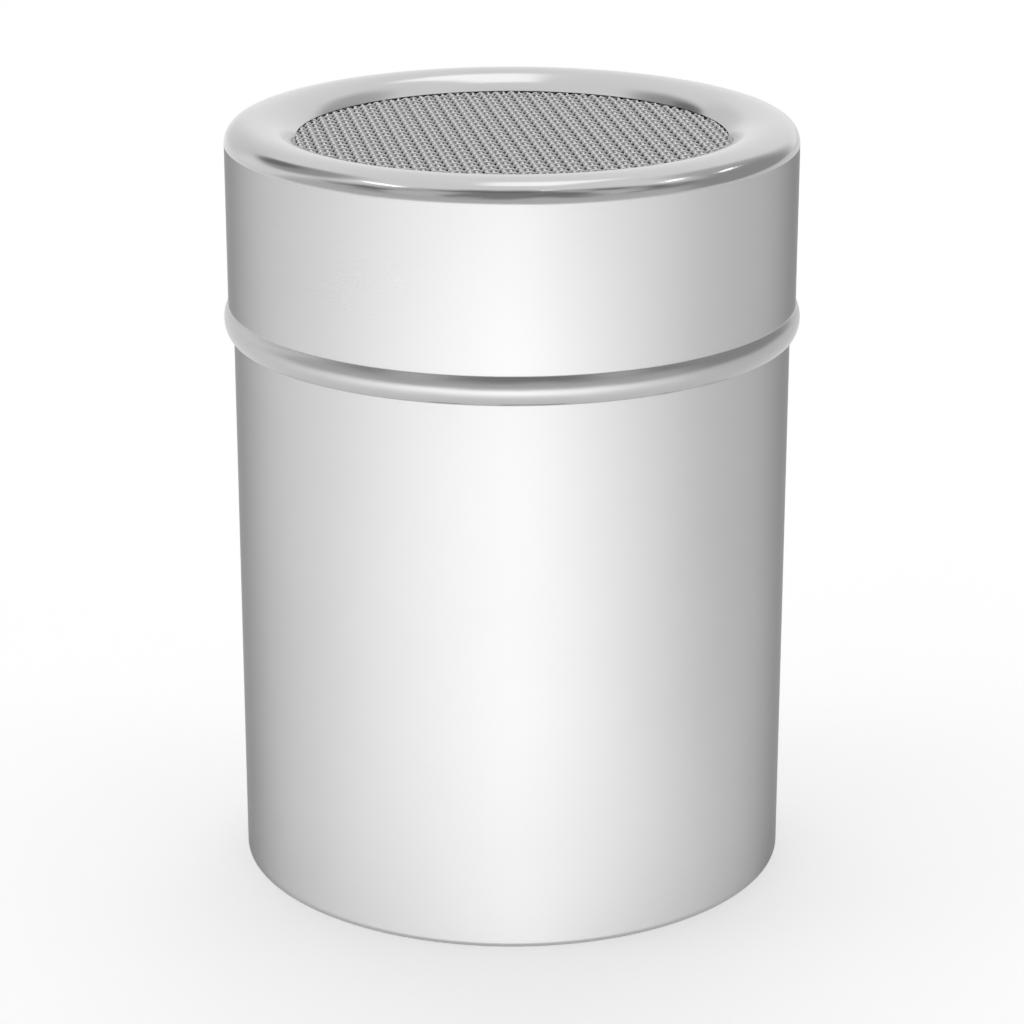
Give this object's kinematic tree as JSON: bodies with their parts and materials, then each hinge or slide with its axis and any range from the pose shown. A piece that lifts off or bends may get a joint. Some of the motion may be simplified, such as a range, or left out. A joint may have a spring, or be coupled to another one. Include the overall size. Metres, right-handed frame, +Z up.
{
  "type": "mesh top spice shaker",
  "caption": "Straight round sheet steel can with a deep slip-on lid; a woven wire screen in the lid's rim lets ground spice or flour be shaken out.",
  "frame": {"origin": "centre of the face that the can stands on", "axes": "+Z up along the can's axis, towards the screen; +X to the right and +Y away from the viewer, who sees the shaker from -Y"},
  "size_m": [0.0712, 0.0712, 0.0945],
  "materials": {
    "can_sheet": "stainless sheet, satin polished",
    "base_sheet": "stainless sheet, plain pressed",
    "lid_sheet": "stainless sheet, polished",
    "ring_sheet": "stainless sheet, plain pressed",
    "screen_wire": "drawn stainless wire, woven"
  },
  "bodies": {
    "can": {"can_wall": "can_sheet", "can_base": "base_sheet"},
    "lid": {"lid_shell": "lid_sheet", "screen_ring": "ring_sheet", "screen_warp_wires": "screen_wire", "screen_weft_wires": "screen_wire"}
  },
  "joints": [
    {"name": "lid_lift", "type": "slide", "parent": "can", "child": "lid", "axis": [0, 0, 1], "range_m": [0, 0.06]}
  ]
}
